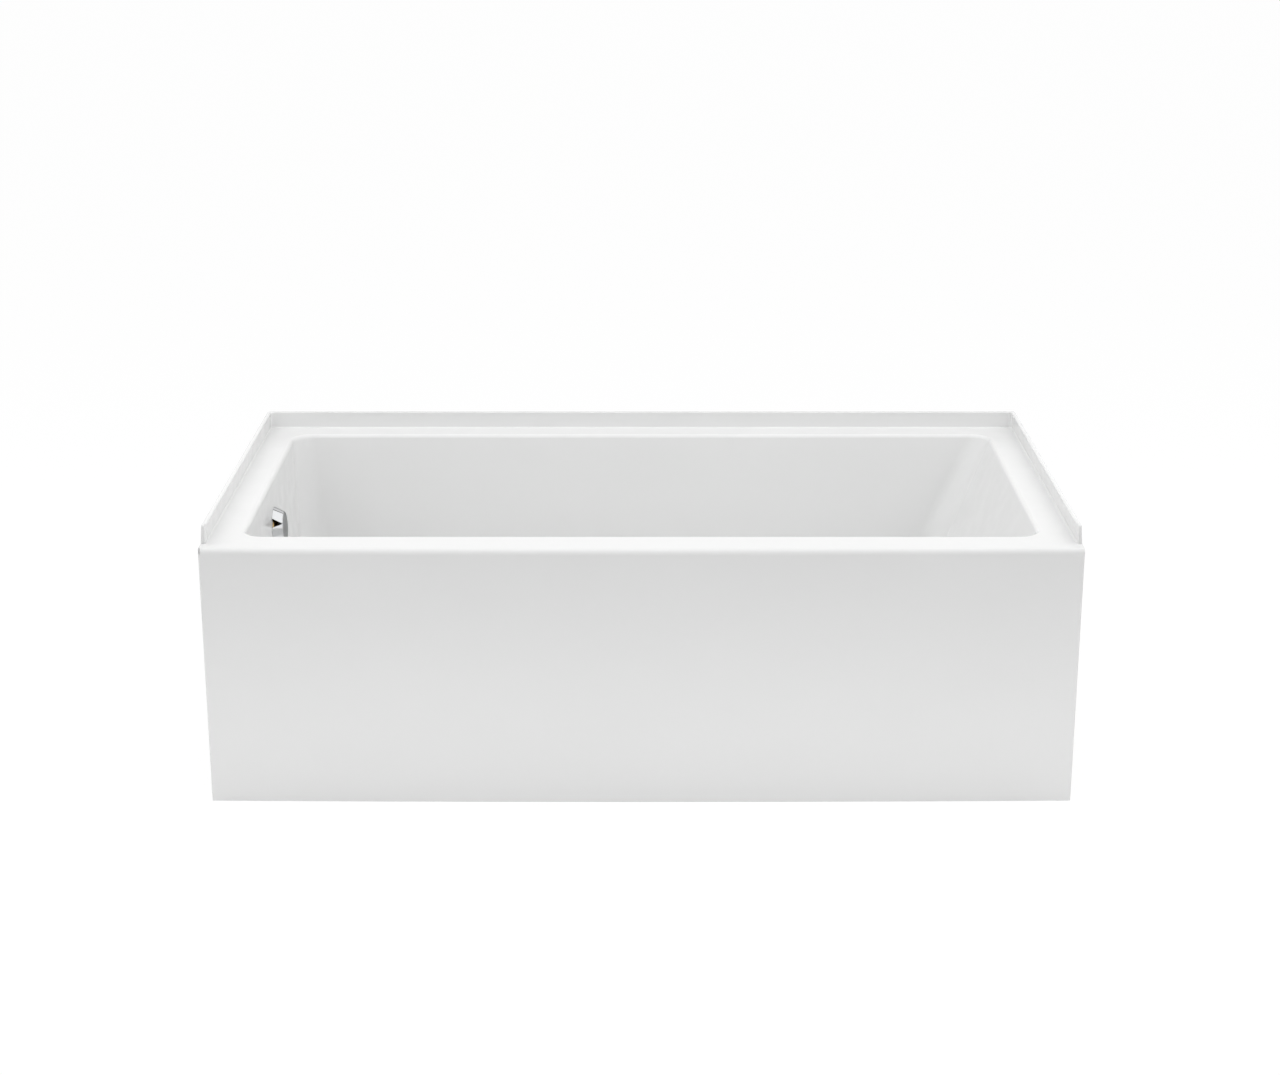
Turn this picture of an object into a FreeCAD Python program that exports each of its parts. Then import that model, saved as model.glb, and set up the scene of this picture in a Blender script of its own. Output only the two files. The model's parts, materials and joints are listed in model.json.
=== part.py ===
"""Alcove bathtub, 60 x 32 in, left-hand drain, integral apron and tile flange.

Frame: millimetres, +Z up, X along the tub, origin at the middle of the footprint on
the floor. The apron faces -Y, the drain end is at -X and the backrest at +X.
"""
import FreeCAD, Part
import math
import os

from FreeCAD import Vector

# ---- envelope -------------------------------------------------------------------
LENGTH = 1524.0                 # 60 in alcove
DEPTH = 813.0                   # 32 in, apron belly to flange foot
DECK_Z = 469.3                  # top of the deck
FLANGE_TOP_Z = 503.0            # top of the tile flange

HALF_LENGTH = LENGTH / 2
BACK_Y = DEPTH / 2
APRON_BOW = 6.0                 # how far the apron bellies out at mid length
FRONT_Y = -DEPTH / 2 + APRON_BOW

# ---- the moulded sheet ----------------------------------------------------------
ACRYLIC = 4.0                   # thickness of the white sheet
LAMINATE = 4.0                  # thickness of the glass fibre behind it
SKIN = ACRYLIC + LAMINATE
LAMINATE_INSET = 2.0            # the laminate stops short of the sheet's cut edges
APRON_TOP_R = 10.5              # roll from the deck into the apron
APRON_CORNER_R = 3.0            # its upright corners
RIM_R = 7.5                     # roll from the deck into the well
SIDE_RETURN = 32.0              # how far the apron wraps round each end
FOOT_LIP = 25.0                 # turned-in foot of the apron

# ---- tile flange ----------------------------------------------------------------
FLANGE_THICK = 8.0
FLANGE_LEAN = 2.7               # it leans in this much over its height
FLANGE_FOOT_R = 3.0
FLANGE_CORNER_R = 8.0
FLANGE_EDGE_R = 1.8
FLANGE_BACK_R = 6.0
FLANGE_FRONT_Y = FRONT_Y + 31.0
FLANGE_NOSE_R = 5.0
FLANGE_NOSE_TAPER = (18.0, 3.5)  # length and depth of the taper inside each front end

# ---- the well -------------------------------------------------------------------
WELL_MID_Y = 10.0
RIM_HALF_LENGTH = 696.0
RIM_HALF_WIDTH = 334.0
RIM_CORNER_R = 36.0
FLOOR_CORNER_R = 60.0
DRAIN_END_DRAFT = math.radians(2.5)
BACKREST_RAKE = math.radians(22.5)
SIDE_DRAFT = math.radians(5.0)
FLOOR_DRAIN_Z = 124.0           # floor height beside the drain
FLOOR_FALL = 0.0065             # floor rises this much per mm towards the backrest
FLOOR_FILLET = 50.0
WELL_FOOT_Z = 60.0              # the wall planes are drawn down to here, then cut

# ---- drain and overflow places --------------------------------------------------
DRAIN_X = -560.0                # 8 in from the end
SUMP_DEPTH = 4.0
SUMP_Z = FLOOR_DRAIN_Z - SUMP_DEPTH
SUMP_R = 46.0
SUMP_SLOPE = 1.2                # run of the sump's side per mm of rise
DRAIN_HOLE_R = 25.0
OVERFLOW_Z = 378.5
OVERFLOW_HOLE_R = 25.0
COLUMN_X = -731.0               # waste column behind the drain end
TUBE_R = 19.05                  # 1 1/2 in tubular waste
TUBE_WALL = 1.6
TUBE_BORE = TUBE_R - TUBE_WALL
SOCKET_R = 22.5                 # outside of every slip-joint socket
RUN_Z = 76.0                    # height of the horizontal waste run
TEE_BRANCH_X = -688.0
TEE_TOP_Z = 122.0
TEE_FOOT_Z = 46.0
TAILPIECE_FOOT_Z = 3.0
SPIGOT_STEP = 0.5               # the tailpiece's cemented end is this much thinner
SPIGOT_SHOULDER = 2.0           # and starts this far below the tee
SHOE_MOUTH_X = -612.0
ELBOW_FOOT_Z = 316.0

# ---- support under the well -----------------------------------------------------
BOARD_TOP_Z = 114.0
BOARD_THICK = 12.0
BOARD_HALF_LENGTH = 470.0
BOARD_HALF_WIDTH = 230.0
BOARD_CORNER_R = 40.0
BED_INSET = 6.0
RAIL_HEIGHT = 26.0
RAIL_GAUGE = 1.5
RAIL_WEB = 34.0                 # flat width of the web
RAIL_FLARE = 4.0                # each side wall leans out this much
RAIL_LIP = 16.0
RAIL_HALF_LENGTH = 300.0
RAIL_X = 400.0
RAIL_PLACES = {"drain_end": -RAIL_X, "middle": 0.0, "head_end": RAIL_X}
RAIL_HOLE_GAP = 0.5
RAIL_SCREW_YS = (-190.0, 190.0)
SCREW_R = 2.0
SCREW_HEAD = ((0, -2.6), (3.2, -2.6), (4.5, -1.0), (4.5, 0))    # radius, height
SCREW_LENGTH = 12.0
SCREW_POINT = 4.0
SCREW_CROSS = (8.0, 1.0, 1.3)   # length, width and depth of the recess's bars
FOOT_Y = 265.0
FOOT_PLACES = {                 # from the well's centre line
    "drain_front": (-RAIL_X, -FOOT_Y),
    "drain_back": (-RAIL_X, FOOT_Y),
    "middle": (0.0, 0.0),
    "head_front": (RAIL_X, -FOOT_Y),
    "head_back": (RAIL_X, FOOT_Y),
}
ROD_R = 5.0                     # M10 rod
RUNNING_GAP = 0.05
NUT_FLATS = 17.0
NUT_HIGH = 8.0
ROD_TOP_Z = 90.0
ROD_CHAMFER = 1.0
ROD_HEX_Z = 15.0                # foot of the hexagon for the spanner
PAD_OUTLINE = ((0, 0), (23.0, 0), (24.0, 1.0), (24.0, 3.0), (12.0, 6.0), (9.0, 9.0), (9.0, 13.0))
PAD_HIGH = 13.0
PAD_SOCKET_Z = 4.0
FOOT_RAIL_DEEP = 38.0           # timber along the apron's foot
FOOT_RAIL_TOP_Z = 42.0
STIFFENER_GAP = 5.0
STUD_WIDE = 90.0
STUD_THICK = 12.0
STUD_TOP_Z = 430.0
STUD_PLACES = {"drain_end": -500.0, "middle": 0.0, "head_end": 500.0}
RIM_BOARD_HALF = 600.0
RIM_BOARD_FRONT_Y = -388.0
RIM_BOARD_WIDE = 48.0
RIM_BOARD_THICK = 12.0

# ---- drain and toe-touch stopper --------------------------------------------------
STRAINER_R = 36.5
STRAINER_RIM = ((36.5, 1.0), (34.0, 2.6))      # radius, height over the sump
SEAT_CONE = (4.0, 3.0)          # how far the dish spreads and rises above the seat
CROSSBAR = (3.0, 5.0)           # width and height
STRAINER_BODY_R = 23.5
STRAINER_FOOT_Z = SUMP_Z - 40.0
THROAT_R = 21.0
SEAT_Z = SUMP_Z - 4.0           # where the dish meets the throat
HUB_R = 8.0
HUB_TOP_Z = STRAINER_FOOT_Z + 9.0
POST_R = 4.0
POST_TOP_Z = SUMP_Z - 5.0
BARREL_R = 9.0
CAP_CROWN = ((26.0, 1.4), (23.0, 3.0), (13.0, 4.6), (0, 5.2))    # radius, height over the seal
CAP_R = 26.0
CAP_HUB = 2.0                   # the hub inside the seal is this much wider than the barrel
CAP_ROOF = 2.0                  # the spring's room ends this far above the seal's foot
STOPPER_CLEAR = 1.0             # between barrel and crossbar with the stopper pressed down
SEAL_R = 23.2
SEAL_THICK = 2.5
SEAL_FOOT_Z = SEAT_Z + 2.8      # with the stopper pressed down
STOPPER_TRAVEL = 9.5
SPRING_WIRE_R = 0.4
SPRING_GAP = 0.3
SPRING_TURNS = 6
GASKET_THICK = 3.0
SHOE_FLANGE_R = 36.0
SHOE_FLANGE_THICK = 4.0
SHOE_FOOT_Z = 50.0
SHOE_WALL = 4.0
SHOE_FLOOR = 3.0
SHOE_SLOPE = 6.0                # bevel round the cup's foot
SOCKET_DEEP = 16.0

# ---- overflow ---------------------------------------------------------------------
COVER_BASE_R = 40.0
COVER_FACE_R = 29.5
COVER_DEEP = 19.0
COVER_WALL = 1.8
COVER_GAP = 0.3
COVER_EDGE = 0.8                # bevel round the face
COVER_STUD_R = 3.0
COVER_STUD_SHORT = 2.0          # the stud ends this far inside the cover
COVER_NOTCH_ANGLES = (0, 120, 240)       # from the foot of the cover
NOTCH_HALF = 9.0
NOTCH_TIP_HALF = 1.2
NOTCH_SHORT = 2.5               # they stop this far behind the face
NOTCH_DEEP = 9.0                # and reach this far in past the face's edge
RETAINER_R = 22.0
RETAINER_BORE = 18.0
RETAINER_FLANGE_R = 30.0
RETAINER_LIP = (1.0, 2.0)       # bevel and height of its flange
RETAINER_GRIP = 7.0             # thread length inside the elbow
SPOKE_WIDE = 3.0
SPOKE_REACH = (-3.0, 1.0)       # behind and in front of the wall that shows
BOSS_R = COVER_STUD_R + 2.5
BOSS_LENGTH = 11.0
GASKET_FOAM = 4.0
ELBOW_FLANGE_R = 37.0
ELBOW_FLANGE_THICK = 4.0
ELBOW_WALL = 4.0                # of the neck
ELBOW_HEAD_R = 27.0
ELBOW_SHOULDER = (20.0, 12.0)   # where the socket ends above its mouth, and its slope's height
ELBOW_CROWN = (8.0, 10.0)       # inset and height of the head's sloping top
ELBOW_ROOF = 6.0
SLIP_NUT_FLATS = 50.0
NUT_SKIRT = 13.0
NUT_LIP = 3.0
NUT_COLLAR = 1.5
WASHER_HIGH = 4.0
WASHER_LAND = 1.0               # width left at the thin end of its bevel

UP = Vector(0, 0, 1)
DOWN = Vector(0, 0, -1)
ALONG = Vector(1, 0, 0)
BACK = Vector(0, 1, 0)
WALL_OUT = Vector(math.cos(DRAIN_END_DRAFT), 0, math.sin(DRAIN_END_DRAFT))
FAR = 60.0                      # cutting bodies run this far past what they cut
NEAR = 0.1                      # tolerance for picking an edge by its place
SMALLEST_FILLET = 3.0           # smaller rounds behind the sheet are left sharp

BOARD_FOOT_Z = BOARD_TOP_Z - BOARD_THICK
RAIL_FOOT_Z = BOARD_FOOT_Z - RAIL_HEIGHT


# ---- small tools ----------------------------------------------------------------
def box(x0, x1, y0, y1, z0, z1):
    return Part.makeBox(x1 - x0, y1 - y0, z1 - z0, Vector(x0, y0, z0))


def turned(outline, at=Vector(), axis=UP):
    """Solid of revolution: outline holds (radius, height) points along the axis."""
    points = [Vector(radius, 0, height) for radius, height in outline]
    face = Part.Face(Part.makePolygon(points + points[:1]))
    solid = face.revolve(Vector(), UP, 360)
    solid.Placement = FreeCAD.Placement(at, FreeCAD.Rotation(UP, axis))
    return solid


def ring(outer, inner, length, at, axis=UP):
    return turned([(inner, 0), (outer, 0), (outer, length), (inner, length)], at, axis)


def rod(radius, length, at, axis=UP):
    return Part.makeCylinder(radius, length, at, axis)


def hexagon(flats, height, at, axis=UP, bore=0.0):
    """Hexagonal prism with an optional bore, standing on `at` along the axis."""
    reach = flats / 2 / math.cos(math.pi / 6)
    corners = [Vector(reach * math.cos(i * math.pi / 3), reach * math.sin(i * math.pi / 3), 0)
               for i in range(7)]
    solid = Part.Face(Part.makePolygon(corners)).extrude(UP * height)
    if bore:
        solid = solid.cut(Part.makeCylinder(bore, height))
    solid.Placement = FreeCAD.Placement(at, FreeCAD.Rotation(UP, axis))
    return solid


def rounded_outline(x0, x1, y0, y1, radius, z):
    """Closed wire of a rectangle with round corners at height z."""
    diagonal = radius * (1 - math.sqrt(0.5))
    corners = [  # end of one side, point on the arc, start of the next side
        ((x1 - radius, y0), (x1 - diagonal, y0 + diagonal), (x1, y0 + radius)),
        ((x1, y1 - radius), (x1 - diagonal, y1 - diagonal), (x1 - radius, y1)),
        ((x0 + radius, y1), (x0 + diagonal, y1 - diagonal), (x0, y1 - radius)),
        ((x0, y0 + radius), (x0 + diagonal, y0 + diagonal), (x0 + radius, y0)),
    ]
    edges = []
    for i, (enter, middle, leave) in enumerate(corners):
        enter, middle, leave = (Vector(x, y, z) for x, y in (enter, middle, leave))
        following = Vector(*corners[(i + 1) % 4][0], z)
        edges.append(Part.Arc(enter, middle, leave).toShape())
        edges.append(Part.makeLine(leave, following))
    return Part.Wire(edges)


def fillet(solid, radius, wanted):
    """Round every edge whose middle point the test `wanted` accepts."""
    edges = [edge for edge in solid.Edges if wanted(edge_middle(edge))]
    return solid.makeFillet(radius, edges)


def inner_fillet(solid, radius, skin, wanted):
    """The same behind a sheet: tight inner corners are left sharp."""
    inner = radius - skin
    return fillet(solid, inner, wanted) if inner > SMALLEST_FILLET else solid


def edge_middle(edge):
    return edge.valueAt((edge.FirstParameter + edge.LastParameter) / 2)


def save(name, *solids):
    """Write one sub-part; identical pieces share it as separate solids."""
    shape = solids[0] if len(solids) == 1 else Part.makeCompound(list(solids))
    if not shape.isValid():
        raise ValueError(name + " is not a valid solid")
    shape.exportStep("parts/" + name + ".step")
    print(name, len(shape.Solids), round(shape.Volume / 1000, 1), "cm3")


# ---- the sheet at any depth behind the surface that shows ------------------------
def floor_z(x):
    return FLOOR_DRAIN_Z + (x - DRAIN_X) * FLOOR_FALL


def wall_x(z, skin=0.0):
    """Drain end wall at height z."""
    drop = DECK_Z - z
    return -RIM_HALF_LENGTH + drop * math.tan(DRAIN_END_DRAFT) - skin / math.cos(DRAIN_END_DRAFT)


def well_outline(z, skin):
    """Section of the well at height z: each wall has its own draft."""
    drop = DECK_Z - z
    backrest = RIM_HALF_LENGTH - drop * math.tan(BACKREST_RAKE) + skin / math.cos(BACKREST_RAKE)
    half = RIM_HALF_WIDTH - drop * math.tan(SIDE_DRAFT) + skin / math.cos(SIDE_DRAFT)
    growth = (FLOOR_CORNER_R - RIM_CORNER_R) / (DECK_Z - FLOOR_DRAIN_Z)
    radius = RIM_CORNER_R + drop * growth + skin
    return rounded_outline(wall_x(z, skin), backrest, WELL_MID_Y - half, WELL_MID_Y + half,
                           radius, z)


def well(skin):
    """The hollow of the well, grown outwards by skin."""
    hollow = Part.makeLoft([well_outline(DECK_Z + FAR, skin), well_outline(WELL_FOOT_Z, skin)],
                           True, True)
    ground = box(-LENGTH, LENGTH, -DEPTH, DEPTH, -DEPTH, 0)
    ground.rotate(Vector(), BACK, -math.degrees(math.atan(FLOOR_FALL)))
    ground.translate(Vector(0, 0, floor_z(0) - skin))
    hollow = hollow.cut(ground)
    hollow = fillet(hollow, FLOOR_FILLET + skin, lambda p: p.z < floor_z(p.x) - skin + NEAR)
    sump_rise = SUMP_DEPTH * 3
    sump = turned([(0, 0), (SUMP_R + skin, 0), (SUMP_R + skin + sump_rise * SUMP_SLOPE, sump_rise),
                   (0, sump_rise)], Vector(DRAIN_X, WELL_MID_Y, SUMP_Z - skin))
    return hollow.fuse(sump)


def apron_block(skin, foot, back):
    """Everything under the deck and behind the apron, whose bow is one arc."""
    half = HALF_LENGTH - skin
    front = FRONT_Y + skin
    left = Vector(-half, front, foot)
    right = Vector(half, front, foot)
    belly = Vector(0, front - APRON_BOW, foot)
    back_right = Vector(half, back, foot)
    back_left = Vector(-half, back, foot)
    plan = Part.Wire([Part.Arc(left, belly, right).toShape(), Part.makeLine(right, back_right),
                      Part.makeLine(back_right, back_left), Part.makeLine(back_left, left)])
    return Part.Face(plan).extrude(UP * (DECK_Z - skin - foot))


def block(skin, foot, back):
    """The same with its front edges rolled."""
    plain = apron_block(skin, foot, back)
    top = DECK_Z - skin

    def top_edge(p):
        return p.z > top - NEAR and p.y < FRONT_Y + skin

    def uprights(p):
        return abs(p.z - (top + foot) / 2) < NEAR and p.y < FRONT_Y + skin + NEAR
    rolled = inner_fillet(plain, APRON_TOP_R, skin, top_edge)
    if skin:
        return rolled
    return rolled.common(fillet(plain, APRON_CORNER_R, uprights))


def roll_rim(solid, skin):
    """Round the edge where the deck turns down into the well."""
    reach = skin + NEAR

    def on_rim(p):
        inside = abs(p.x) < RIM_HALF_LENGTH + reach and abs(p.y - WELL_MID_Y) < RIM_HALF_WIDTH + reach
        return inside and abs(p.z - DECK_Z + skin) < NEAR
    return inner_fillet(solid, RIM_R, skin, on_rim)


def under_sheet(skin):
    """The open space under the sheet, at depth skin behind what shows."""
    top = DECK_Z - skin
    space = block(skin, skin, BACK_Y + FAR)
    past = HALF_LENGTH + FAR
    ends = box(-past, past, FRONT_Y + SIDE_RETURN, BACK_Y + FAR, -FAR, top)
    lip_end = HALF_LENGTH - FOOT_LIP
    foot = box(-lip_end, lip_end, FRONT_Y + FOOT_LIP, BACK_Y, -FAR, top / 2)
    space = space.fuse([ends, foot]).removeSplitter()
    return roll_rim(space.cut(well(skin)), skin)


def leaning_block(front):
    """Block above the deck whose end and back faces are planes that lean inwards."""
    ends = [Vector(x, front, z) for x, z in (
        (-HALF_LENGTH, DECK_Z), (HALF_LENGTH, DECK_Z),
        (HALF_LENGTH - FLANGE_LEAN, FLANGE_TOP_Z), (-HALF_LENGTH + FLANGE_LEAN, FLANGE_TOP_Z))]
    side = [Vector(-HALF_LENGTH, y, z) for y, z in (
        (front, DECK_Z), (BACK_Y, DECK_Z), (BACK_Y - FLANGE_LEAN, FLANGE_TOP_Z), (front, FLANGE_TOP_Z))]
    lengthways = Part.Face(Part.makePolygon(ends + ends[:1])).extrude(BACK * (BACK_Y - front))
    crossways = Part.Face(Part.makePolygon(side + side[:1])).extrude(ALONG * LENGTH)

    def back_corner(p):
        return abs(p.x) > HALF_LENGTH - FLANGE_LEAN and p.y > BACK_Y - FLANGE_LEAN
    return fillet(lengthways.common(crossways), FLANGE_BACK_R, back_corner)


def nose_taper(side):
    """What comes off the inside of the flange's front end on one side."""
    length, depth = FLANGE_NOSE_TAPER
    inside = HALF_LENGTH - FLANGE_LEAN - FLANGE_THICK
    corners = [(inside, FLANGE_FRONT_Y + length), (inside + depth, FLANGE_FRONT_Y),
               (inside + depth, FLANGE_FRONT_Y - FAR), (inside - FAR, FLANGE_FRONT_Y - FAR)]
    points = [Vector(side * x, y, DECK_Z) for x, y in corners]
    return Part.Face(Part.makePolygon(points + points[:1])).extrude(UP * FAR)


def flange():
    """Upstand on the left, back and right edges, coved into the deck at its foot."""
    far_front = FLANGE_FRONT_Y - 4 * FAR
    outer = leaning_block(far_front)
    foot = rounded_outline(-HALF_LENGTH + FLANGE_THICK, HALF_LENGTH - FLANGE_THICK, far_front - FAR,
                           BACK_Y - FLANGE_THICK, FLANGE_CORNER_R, DECK_Z)
    inset = FLANGE_THICK + FLANGE_LEAN
    mouth = rounded_outline(-HALF_LENGTH + inset, HALF_LENGTH - inset, far_front - FAR,
                            BACK_Y - inset, FLANGE_CORNER_R, FLANGE_TOP_Z)
    inner = Part.makeLoft([foot, mouth], True, True)
    inner = fillet(inner, FLANGE_FOOT_R, lambda p: p.z < DECK_Z + NEAR)
    front = box(-LENGTH, LENGTH, far_front - 2 * FAR, FLANGE_FRONT_Y, 0, LENGTH)
    upstand = outer.cut([inner, front, nose_taper(-1), nose_taper(1)])
    upstand = fillet(upstand, FLANGE_NOSE_R,
                     lambda p: p.z > FLANGE_TOP_Z - NEAR and p.y < FLANGE_FRONT_Y + NEAR)

    def top_edges(p):
        across_nose = p.y < FLANGE_FRONT_Y + FLANGE_NOSE_R + NEAR
        return p.z > FLANGE_TOP_Z - NEAR and not across_nose
    return fillet(upstand, FLANGE_EDGE_R, top_edges)


def tub_shell():
    """One vacuum-formed sheet: well, deck, tile flange and apron."""
    outside = roll_rim(block(0.0, 0.0, BACK_Y).cut(well(0.0)), 0.0)
    outside = outside.fuse(flange()).removeSplitter()
    shell = outside.cut(under_sheet(ACRYLIC))
    return shell.cut([drain_hole(), overflow_hole()])


def drain_hole():
    return rod(DRAIN_HOLE_R, 2 * FAR, Vector(DRAIN_X, WELL_MID_Y, SUMP_Z - FAR))


def overflow_hole():
    start = Vector(wall_x(OVERFLOW_Z), WELL_MID_Y, OVERFLOW_Z) - WALL_OUT * FAR
    return rod(OVERFLOW_HOLE_R, 2 * FAR, start, WALL_OUT)


def fibreglass_backing():
    """Chopped glass laminate bonded to the hidden side of the sheet."""
    layer = under_sheet(ACRYLIC).cut(under_sheet(SKIN))
    end = HALF_LENGTH - LAMINATE_INSET
    trim = box(-end, end, -DEPTH, BACK_Y - LAMINATE_INSET, ACRYLIC, DECK_Z)
    layer = layer.common(trim)
    return layer.cut([drain_hole(), overflow_hole()])


# ---- what stiffens and carries the sheet -----------------------------------------
def bonding_bed():
    """Resin wedge that levels the sloping floor onto the board."""
    x, y = BOARD_HALF_LENGTH - BED_INSET, BOARD_HALF_WIDTH - BED_INSET
    slab = box(-x, x, WELL_MID_Y - y, WELL_MID_Y + y, BOARD_TOP_Z, DECK_Z / 2)
    return slab.cut(well(SKIN))


def base_board():
    outline = rounded_outline(-BOARD_HALF_LENGTH, BOARD_HALF_LENGTH, WELL_MID_Y - BOARD_HALF_WIDTH,
                              WELL_MID_Y + BOARD_HALF_WIDTH, BOARD_CORNER_R, BOARD_FOOT_Z)
    board = Part.Face(outline).extrude(UP * BOARD_THICK)
    pilots = [rod(SCREW_R + RUNNING_GAP, BOARD_THICK, place)
              for x in RAIL_PLACES.values() for place in rail_screw_places(x)]
    return board.cut(pilots)


def cradle_rail(x, foot_ys):
    """Pressed hat-section rail across the board, with a hole for each foot."""
    half = RAIL_WEB / 2
    out = half + RAIL_FLARE
    skin = RAIL_GAUGE
    profile = [(-half, 0), (half, 0), (out, RAIL_HEIGHT - skin), (out + RAIL_LIP, RAIL_HEIGHT - skin),
               (out + RAIL_LIP, RAIL_HEIGHT), (out - skin, RAIL_HEIGHT), (half - skin, skin),
               (-half + skin, skin), (-out + skin, RAIL_HEIGHT), (-out - RAIL_LIP, RAIL_HEIGHT),
               (-out - RAIL_LIP, RAIL_HEIGHT - skin), (-out, RAIL_HEIGHT - skin)]
    start = WELL_MID_Y - RAIL_HALF_LENGTH
    points = [Vector(x + across, start, RAIL_FOOT_Z + high) for across, high in profile]
    rail = Part.Face(Part.makePolygon(points + points[:1])).extrude(BACK * 2 * RAIL_HALF_LENGTH)
    for y in foot_ys:
        foot = Vector(x, WELL_MID_Y + y, RAIL_FOOT_Z - RAIL_GAUGE)
        rail = rail.cut(rod(ROD_R + RAIL_HOLE_GAP, 3 * RAIL_GAUGE, foot))
    for place in rail_screw_places(x):
        rail = rail.cut(rod(SCREW_R + RUNNING_GAP, RAIL_HEIGHT, place - UP * RAIL_HEIGHT / 2))
    return rail


def rail_screw_places(x):
    across = RAIL_WEB / 2 + RAIL_FLARE + RAIL_LIP / 2
    return [Vector(x + side * across, WELL_MID_Y + y, BOARD_FOOT_Z - RAIL_GAUGE)
            for side in (-1, 1) for y in RAIL_SCREW_YS]


def rail_screw(place):
    """Pan-head wood screw driven up through a rail's lip into the board."""
    screw = turned([*SCREW_HEAD, (SCREW_R, 0), (SCREW_R, SCREW_LENGTH - SCREW_POINT),
                    (0, SCREW_LENGTH)], place)
    length, width, depth = SCREW_CROSS
    top = SCREW_HEAD[0][1]
    for long_way, wide_way in ((length / 2, width / 2), (width / 2, length / 2)):
        bar = box(-long_way, long_way, -wide_way, wide_way, top, top + depth)
        bar.translate(place)
        screw = screw.cut(bar)
    return screw


def foot_rod(x, y):
    """Threaded leg with a hexagon near its foot for the spanner."""
    stem = turned([(0, PAD_SOCKET_Z), (ROD_R, PAD_SOCKET_Z), (ROD_R, ROD_TOP_Z - ROD_CHAMFER),
                   (ROD_R - ROD_CHAMFER, ROD_TOP_Z), (0, ROD_TOP_Z)], Vector(x, y, 0))
    return stem.fuse(hexagon(NUT_FLATS, NUT_HIGH, Vector(x, y, ROD_HEX_Z)))


def foot_pad(x, y):
    """Moulded pad with a flared base and a socket for its leg."""
    return turned([*PAD_OUTLINE, (ROD_R, PAD_HIGH), (ROD_R, PAD_SOCKET_Z), (0, PAD_SOCKET_Z)],
                  Vector(x, y, 0))


def foot_nuts(x, y):
    """A nut above and below the web clamps each leg at its height."""
    bore = ROD_R + RUNNING_GAP
    below = hexagon(NUT_FLATS, NUT_HIGH, Vector(x, y, RAIL_FOOT_Z - NUT_HIGH), bore=bore)
    above = hexagon(NUT_FLATS, NUT_HIGH, Vector(x, y, RAIL_FOOT_Z + RAIL_GAUGE), bore=bore)
    return [below, above]


def behind_sheet(blank):
    """Trim a stiffener so that it beds against the laminate."""
    return blank.common(under_sheet(SKIN))


def apron_foot_rail():
    """Timber along the apron's foot, which is screwed to a floor cleat."""
    x = HALF_LENGTH - SKIN - STIFFENER_GAP
    return behind_sheet(box(-x, x, -DEPTH, FRONT_Y + SKIN + FOOT_RAIL_DEEP, ACRYLIC, FOOT_RAIL_TOP_Z))


def apron_stud(x):
    """Upright board bonded to the back of the apron."""
    half = STUD_WIDE / 2
    return behind_sheet(box(x - half, x + half, -DEPTH, FRONT_Y + SKIN + STUD_THICK,
                            FOOT_RAIL_TOP_Z, STUD_TOP_Z))


def front_rim_board():
    """Strip that stiffens the front deck, where people sit to climb in."""
    return box(-RIM_BOARD_HALF, RIM_BOARD_HALF, RIM_BOARD_FRONT_Y, RIM_BOARD_FRONT_Y + RIM_BOARD_WIDE,
               DECK_Z - SKIN - RIM_BOARD_THICK, DECK_Z - SKIN)


# ---- drain ------------------------------------------------------------------------
def at_drain(z):
    return Vector(DRAIN_X, WELL_MID_Y, z)


def drain_strainer():
    """Chrome drain flange screwed down through the sump, with a crossbar inside."""
    spread, rise = SEAT_CONE
    rim = [(radius, SUMP_Z + high) for radius, high in STRAINER_RIM]
    body = turned([(STRAINER_R, SUMP_Z), *rim, (THROAT_R + spread, SEAT_Z + rise), (THROAT_R, SEAT_Z),
                   (THROAT_R, STRAINER_FOOT_Z), (STRAINER_BODY_R, STRAINER_FOOT_Z),
                   (STRAINER_BODY_R, SUMP_Z)], at_drain(0))
    reach = (THROAT_R + STRAINER_BODY_R) / 2
    half = CROSSBAR[0] / 2
    top = STRAINER_FOOT_Z + CROSSBAR[1]
    bars = [box(DRAIN_X - reach, DRAIN_X + reach, WELL_MID_Y - half, WELL_MID_Y + half,
                STRAINER_FOOT_Z, top),
            box(DRAIN_X - half, DRAIN_X + half, WELL_MID_Y - reach, WELL_MID_Y + reach,
                STRAINER_FOOT_Z, top)]
    hub = rod(HUB_R, HUB_TOP_Z - STRAINER_FOOT_Z, at_drain(STRAINER_FOOT_Z))
    bore = rod(POST_R, 2 * FAR, at_drain(STRAINER_FOOT_Z - FAR))
    return body.fuse(bars + [hub]).cut(bore)


def drain_gasket():
    return ring(SHOE_FLANGE_R, DRAIN_HOLE_R, GASKET_THICK, at_drain(SUMP_Z - SKIN - GASKET_THICK))


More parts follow.
